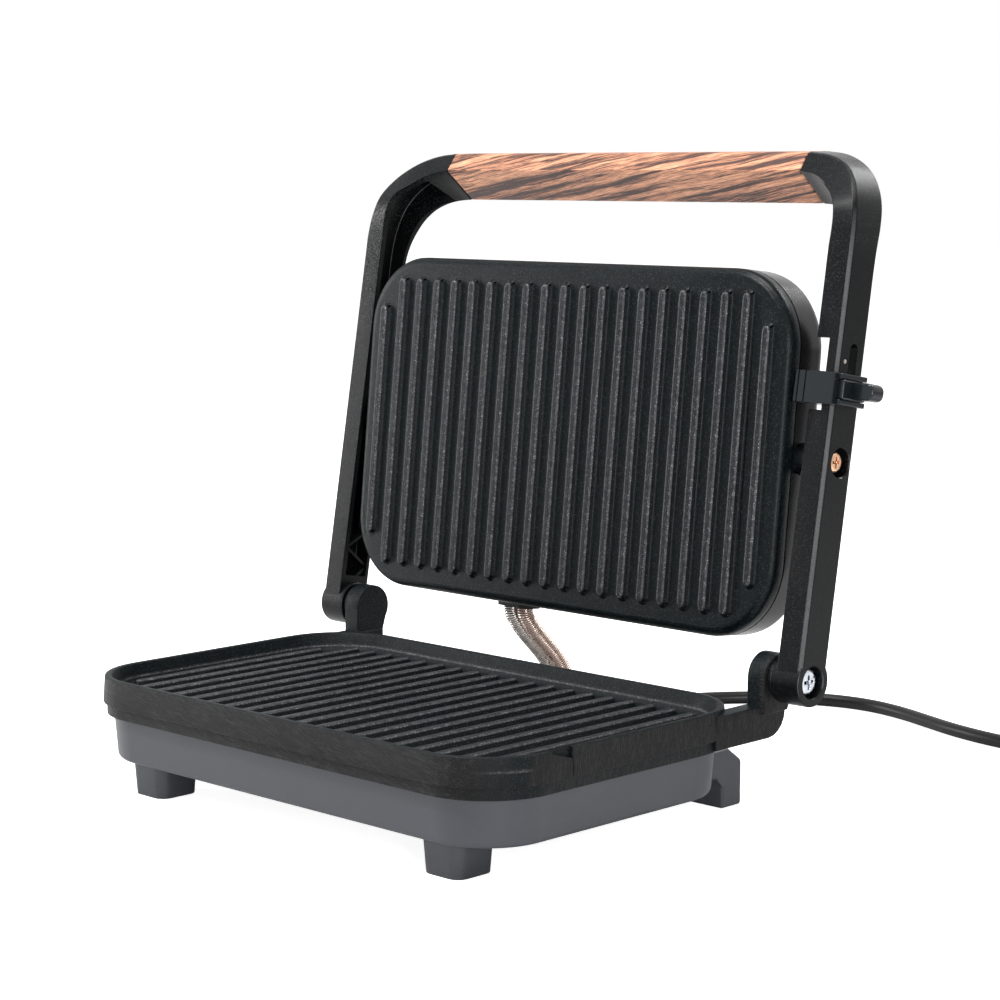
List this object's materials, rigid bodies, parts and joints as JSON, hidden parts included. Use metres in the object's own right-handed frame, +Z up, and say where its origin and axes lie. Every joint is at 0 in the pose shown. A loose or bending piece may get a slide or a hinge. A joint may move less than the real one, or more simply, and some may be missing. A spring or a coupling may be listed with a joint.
{
  "type": "panini press",
  "caption": "Open panini press with ribbed cast plates, a floating upper plate on a pivoting handle frame, a wood grip and a sliding storage latch.",
  "frame": {"origin": "on the worktop, under the middle of the press's overall box without its mains lead", "axes": "+Z up, -Y to the front where the press is used, +X to the right along the hinge"},
  "size_m": [0.3405, 0.4349, 0.2531],
  "materials": {
    "cast_black": "matt black non-stick coating over die-cast aluminium",
    "arm_black": "satin black paint over die-cast metal",
    "cover_black": "satin black",
    "latch_black": "satin black",
    "grey_plastic": "fine matt texture",
    "foot_plastic": "fine matt texture",
    "wood": "satin, dark straight grain",
    "zinc": "zinc plated",
    "copper": "copper-coloured plating",
    "nickel": "nickel plated, satin",
    "steel_dull": "dull",
    "ceramic_white": "glazed",
    "rubber_black": "matt",
    "cord_black": "satin"
  },
  "bodies": {
    "base": {"base_conduit_bush": "rubber_black", "base_housing": "grey_plastic", "base_screw_1": "zinc", "base_screw_2": "zinc", "base_screw_3": "zinc", "base_screw_4": "zinc", "conduit_left": "nickel", "conduit_right": "nickel", "cord_coil": "cord_black", "cord_gland": "rubber_black", "foot_front_left": "foot_plastic", "foot_front_right": "foot_plastic", "foot_rear_left": "foot_plastic", "foot_rear_right": "foot_plastic", "hinge_screw_left": "zinc", "hinge_screw_right": "zinc", "hinge_washer_left": "zinc", "hinge_washer_right": "zinc", "lower_heating_element": "steel_dull", "lower_plate": "cast_black", "lower_thermostat": "ceramic_white", "plug_blade_left": "nickel", "plug_blade_right": "nickel", "plug_body": "rubber_black", "plug_earth_pin": "nickel", "power_cord": "cord_black", "terminal_block": "ceramic_white"},
    "handle_frame": {"arm_left": "arm_black", "arm_right": "arm_black", "handle_grip": "wood", "handle_grip_core": "steel_dull", "latch_detent_pin": "nickel"},
    "upper_plate_assembly": {"cover_conduit_bush": "rubber_black", "cover_screw_1": "zinc", "cover_screw_2": "zinc", "cover_screw_3": "zinc", "cover_screw_4": "zinc", "pivot_bush_left": "latch_black", "pivot_bush_right": "latch_black", "pivot_screw_left": "copper", "pivot_screw_right": "copper", "upper_cover": "cover_black", "upper_heating_element": "steel_dull", "upper_plate": "cast_black", "upper_thermostat": "ceramic_white"},
    "latch": {"latch_slider": "latch_black", "latch_stud": "steel_dull"}
  },
  "joints": [
    {"name": "lid_hinge", "type": "hinge", "parent": "base", "child": "handle_frame", "pos_m": [0, 0.04916, 0.0558], "axis": [1, 0, 0], "range_deg": [0, 94], "deforming": ["conduit_left", "conduit_right"]},
    {"name": "plate_float", "type": "hinge", "parent": "handle_frame", "child": "upper_plate_assembly", "pos_m": [0, 0.06389, 0.13728], "axis": [1, 0, 0], "range_deg": [-0.65, 4.15]},
    {"name": "latch_slide", "type": "slide", "parent": "handle_frame", "child": "latch", "axis": [0, 0.1707, 0.9853], "range_m": [0, 0.0125]}
  ]
}
